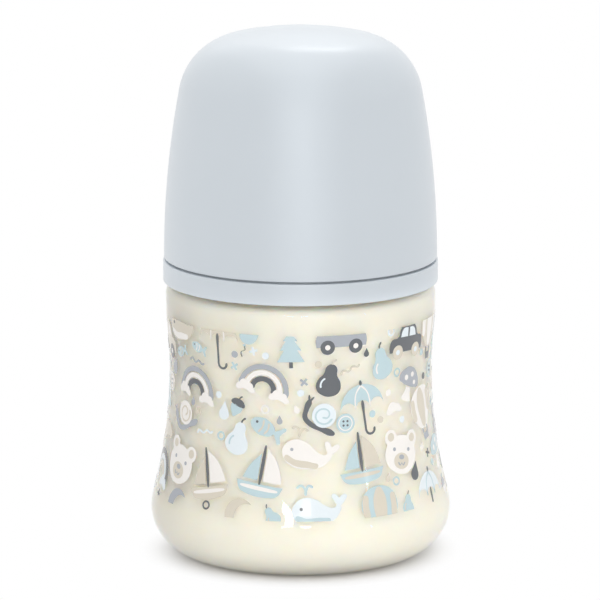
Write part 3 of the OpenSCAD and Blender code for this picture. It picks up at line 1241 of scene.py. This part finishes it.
# Each lamp is a softbox that faces a point on the bottle's axis: how far right of the front it stands and
# how far up, in degrees, its distance, width and height, its roll, its power, the angle that it spreads
# over, the height of the point that it faces and whether it is mirrored in the bottle
LAMPS = {
    "front_strip": (4, 12.0, 1.5, 0.19, 0.075, 0, 0.45, 180, 0.016, True),
    "front_flat": (-10, 12.8, 1.5, 0.23, 0.06, 17, 0.38, 180, 0.016, True),
    "side_strip": (55, 4.2, 1.3, 0.02, 0.1, 0, 0.1, 180, 0.021, True),
    "cap_band": (1.5, 6, 0.1, 0.003, 0.06, 0, 0.00022, 17, 0.088, False),
    "body_wash": (20, 3, 0.12, 0.12, 0.06, 0, 0.0058, 5, 0.032, False),
    "overhead": (178, 86, 1.25, 1.3, 1.1, 0, 3.3, 180, 0.058, True),
    "back_wall": (182, 38, 1.25, 1.1, 0.8, 0, 1.3, 180, 0.118, True),
    "back_spot": (172, 46, 1.2, 0.34, 0.25, 0, 0.95, 180, 0.118, True),
}


def area_lamp(name, side, up, distance, width, height, roll, power, spread, target_z, mirrored):
    """A softbox that faces a point on the bottle's axis."""
    light = bpy.data.lights.new(name, "AREA")
    light.shape = "RECTANGLE"
    light.size, light.size_y = width, height
    light.energy = power
    light.spread = math.radians(spread)
    lamp = put_in_scene(name, light)
    lamp.visible_glossy = mirrored
    side, up = math.radians(side), math.radians(up)
    way = Vector((math.sin(side) * math.cos(up), -math.cos(side) * math.cos(up), math.sin(up)))
    lamp.location = Vector((0, 0, target_z)) + way * distance
    facing = (-way).to_track_quat("-Z", "Y").to_matrix() @ Matrix.Rotation(math.radians(roll), 3, "Z")
    lamp.rotation_euler = facing.to_euler()


class BABYBOTTLE_OT_stage(bpy.types.Operator):
    """Make the camera, the white surround, the lamps and the floor"""

    bl_idname = "babybottle.stage"
    bl_label = "Stage"

    def execute(self, context):
        look = context.scene.stage_look
        context.scene.view_settings.view_transform = "Standard"
        self.camera(context, look)
        self.surround(context, look)
        self.floor(context, look)
        self.lamps()
        return {"FINISHED"}

    def camera(self, context, look):
        """The camera stands in front and looks down at the bottle's middle."""
        data = bpy.data.cameras.new("camera")
        data.lens = look.lens
        data.clip_end = VIEW_REACH
        camera = put_in_scene("camera", data)
        aim = Vector((-look.shift, 0, look.aim_z))
        back = Vector((0, -math.cos(look.pitch), math.sin(look.pitch)))
        camera.location = aim + back * look.distance
        camera.rotation_euler = (-back).to_track_quat("-Z", "Y").to_euler()
        context.scene.camera = camera

    def seen_directly(self, graph):
        """1 for rays from the camera, from a gloss or through glass, 0 for the rest."""
        seen = [
            graph.node("ShaderNodeLightPath", output=ray)
            for ray in ("Is Camera Ray", "Is Glossy Ray", "Is Transmission Ray")
        ]
        return graph.maths("MINIMUM", seen[0] + seen[1] + seen[2], 1.0)

    def surround(self, context, look):
        """White to the eye all round, and an even soft light on what it reaches."""
        world = bpy.data.worlds.new("surround")
        context.scene.world = world
        graph = Graph(world)
        light = graph.node("ShaderNodeBackground", values={"Color": WHITE, "Strength": look.surround})
        white = graph.node("ShaderNodeBackground", values={"Color": WHITE, "Strength": 1.0})
        seen = self.seen_directly(graph)
        graph.node("ShaderNodeOutputWorld", values={"Surface": graph.blend(seen, light, white)})

    def floor(self, context, look):
        """A wide white floor that keeps the bottle's shadow at its foot."""
        bm = bmesh.new()
        bmesh.ops.create_grid(bm, x_segments=1, y_segments=1, size=FLOOR_REACH)
        mesh = mesh_of("floor", bm)
        graph = new_material("floor_white")
        paper = graph.noise(scale=60, detail=2)
        matt = graph.principled({
            "Base Color": graph.mix(paper, (0.86, 0.865, 0.87, 1), (0.88, 0.885, 0.89, 1)),
            "Roughness": 1.0,
            "Specular IOR Level": 0.0,
        })
        glow = graph.node("ShaderNodeEmission", values={"Color": WHITE, "Strength": 1.0})
        distance = graph.length_of(graph.place())
        away = graph.node(
            "ShaderNodeMapRange",
            {"interpolation_type": "SMOOTHSTEP"},
            {"Value": distance, "From Min": look.shade, "From Max": look.shade + look.fade},
        )
        white = self.seen_directly(graph) * away
        mesh.materials.append(graph.finish(graph.blend(white, matt, glow)))
        floor = put_in_scene("floor", mesh)

    def lamps(self):
        """All the lamps of the list."""
        for name, values in LAMPS.items():
            area_lamp(name, *values)


# ---------------------------------------------------------------- add-on


OPERATORS = [
    BABYBOTTLE_OT_stage,
    BABYBOTTLE_OT_bottle,
    BABYBOTTLE_OT_milk,
    BABYBOTTLE_OT_teat,
    BABYBOTTLE_OT_collar,
    BABYBOTTLE_OT_cap,
    BABYBOTTLE_OT_print,
    BABYBOTTLE_OT_scale,
]


class BABYBOTTLE_PT_panel(bpy.types.Panel):
    """The bottle's sizes, colours and pieces"""

    bl_idname = "BABYBOTTLE_PT_panel"
    bl_label = "Baby Bottle"
    bl_space_type = "VIEW_3D"
    bl_region_type = "UI"
    bl_category = "Baby Bottle"

    def draw(self, context):
        for name, group_class in SETTINGS.items():
            column = self.layout.column()
            for prop in group_class.__annotations__:
                column.prop(getattr(context.scene, name), prop)
        for operator in OPERATORS:
            self.layout.operator(operator.bl_idname)


def register():
    """Add the properties, the operators and the panel."""
    for group_class in SETTINGS.values():
        bpy.utils.register_class(group_class)
    for name, group_class in SETTINGS.items():
        setattr(bpy.types.Scene, name, PointerProperty(type=group_class))
    for cls in OPERATORS + [BABYBOTTLE_PT_panel]:
        bpy.utils.register_class(cls)


def unregister():
    """Take them away again."""
    for cls in OPERATORS + [BABYBOTTLE_PT_panel]:
        bpy.utils.unregister_class(cls)
    for name, group_class in SETTINGS.items():
        delattr(bpy.types.Scene, name)
        bpy.utils.unregister_class(group_class)


def main():
    """Make the whole scene."""
    register()
    for operator in OPERATORS:
        group, name = operator.bl_idname.split(".")
        getattr(getattr(bpy.ops, group), name)()


if __name__ == "__main__":
    main()
